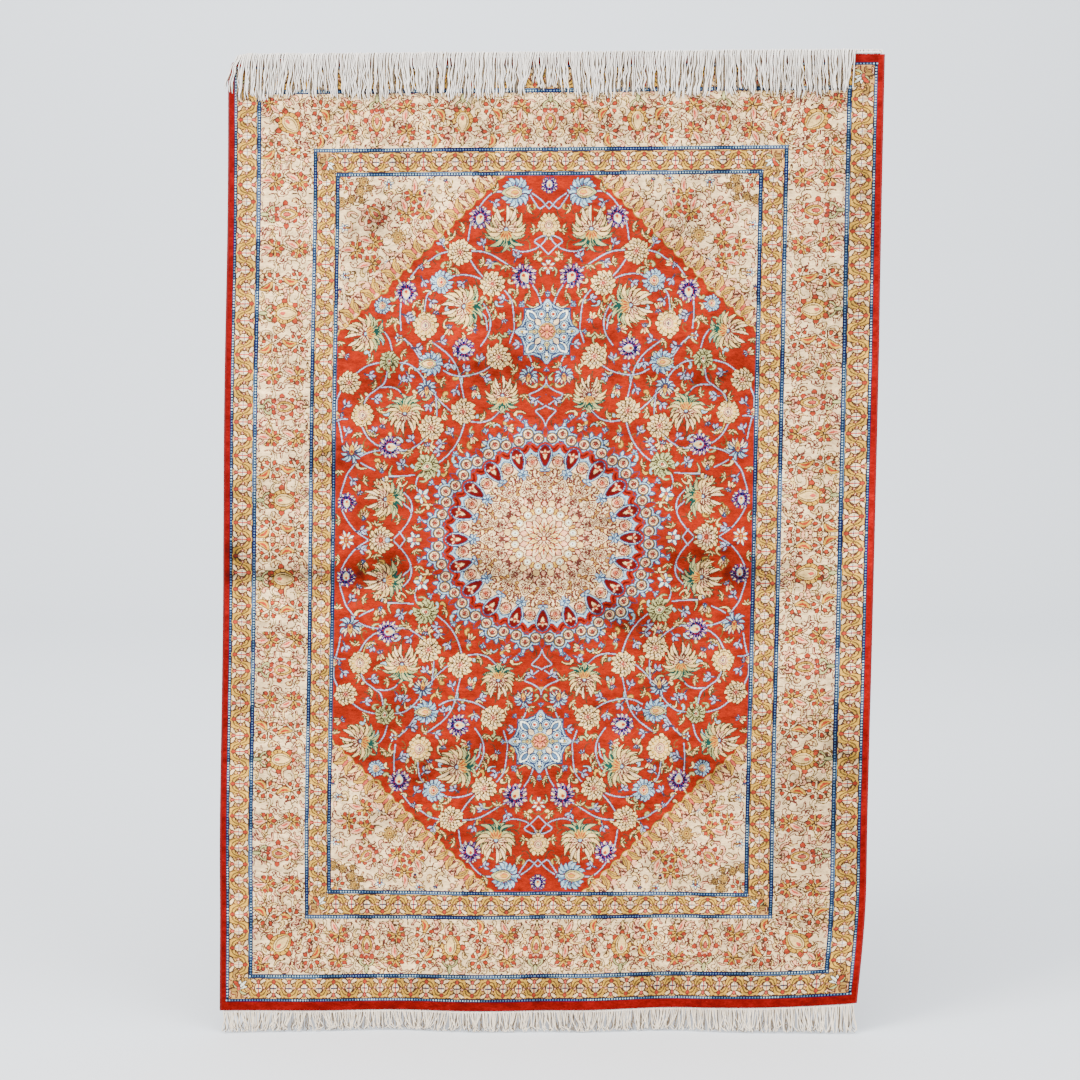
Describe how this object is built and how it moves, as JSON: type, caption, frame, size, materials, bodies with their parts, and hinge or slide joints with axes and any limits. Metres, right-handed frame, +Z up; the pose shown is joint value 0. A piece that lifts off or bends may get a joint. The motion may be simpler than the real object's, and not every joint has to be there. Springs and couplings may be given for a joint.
{
  "type": "hanging persian rug",
  "caption": "Hand-knotted rug with a short silk pile, beaded borders, a central medallion, overcast side cords and a warp fringe at both ends, hanging by its top edge.",
  "frame": {"origin": "middle of the top edge of the cloth, at mid thickness", "axes": "+Z up along the hanging cloth, -Y out of its pile side, +X to the right seen from the pile side"},
  "size_m": [1.0505, 0.0357, 1.5605],
  "materials": {
    "silk_pile": "short silk pile with a soft sheen",
    "selvedge_yarn": "matte overcast yarn",
    "warp_fringe": "undyed twisted warp threads"
  },
  "bodies": {
    "root": {"rug_body": "silk_pile", "selvedge_left": "selvedge_yarn", "selvedge_right": "selvedge_yarn", "fringe_top": "warp_fringe", "fringe_bottom": "warp_fringe"}
  },
  "joints": []
}
